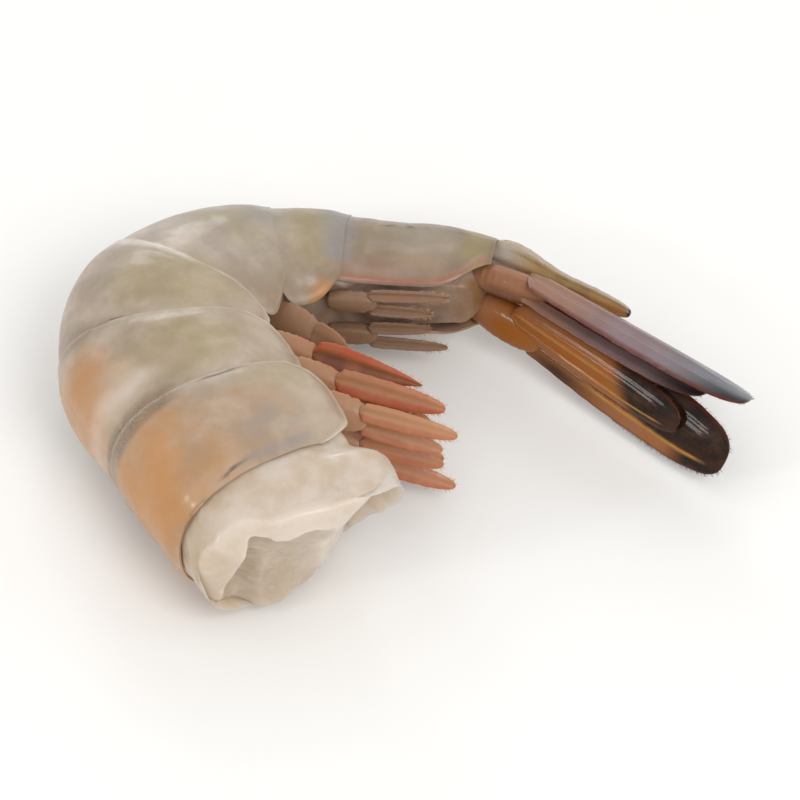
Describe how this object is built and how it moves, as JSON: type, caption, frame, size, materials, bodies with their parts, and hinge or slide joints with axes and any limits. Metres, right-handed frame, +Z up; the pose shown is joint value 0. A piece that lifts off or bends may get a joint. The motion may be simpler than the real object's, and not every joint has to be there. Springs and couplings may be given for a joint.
{
  "type": "raw shrimp",
  "caption": "Raw shell-on shrimp tail, head off, curled and lying on its side, with overlapping shell plates, swimmerets and a tail fan.",
  "frame": {"origin": "middle of the part's box on the surface it lies on", "axes": "+Z up, out of the shrimp's left side; +X from the bend of the back towards the tips of the tail fan; +Y from the torn front end towards the bent back"},
  "size_m": [0.0814, 0.0583, 0.0222],
  "materials": {
    "shell": "wet, translucent",
    "meat": "wet, translucent",
    "swimmeret": "wet",
    "uropod": "wet",
    "telson": "wet"
  },
  "bodies": {
    "root": {"meat": "meat", "shell_1": "shell", "shell_2": "shell", "shell_3": "shell", "shell_4": "shell", "shell_5": "shell", "shell_6": "shell", "swimmeret_left_1": "swimmeret", "swimmeret_left_2": "swimmeret", "swimmeret_left_3": "swimmeret", "swimmeret_left_4": "swimmeret", "swimmeret_left_5": "swimmeret", "swimmeret_right_1": "swimmeret", "swimmeret_right_2": "swimmeret", "swimmeret_right_3": "swimmeret", "swimmeret_right_4": "swimmeret", "swimmeret_right_5": "swimmeret", "telson": "telson", "uropod_base_left": "uropod", "uropod_base_right": "uropod", "uropod_inner_left": "uropod", "uropod_inner_right": "uropod", "uropod_outer_left": "uropod", "uropod_outer_right": "uropod"}
  },
  "joints": []
}
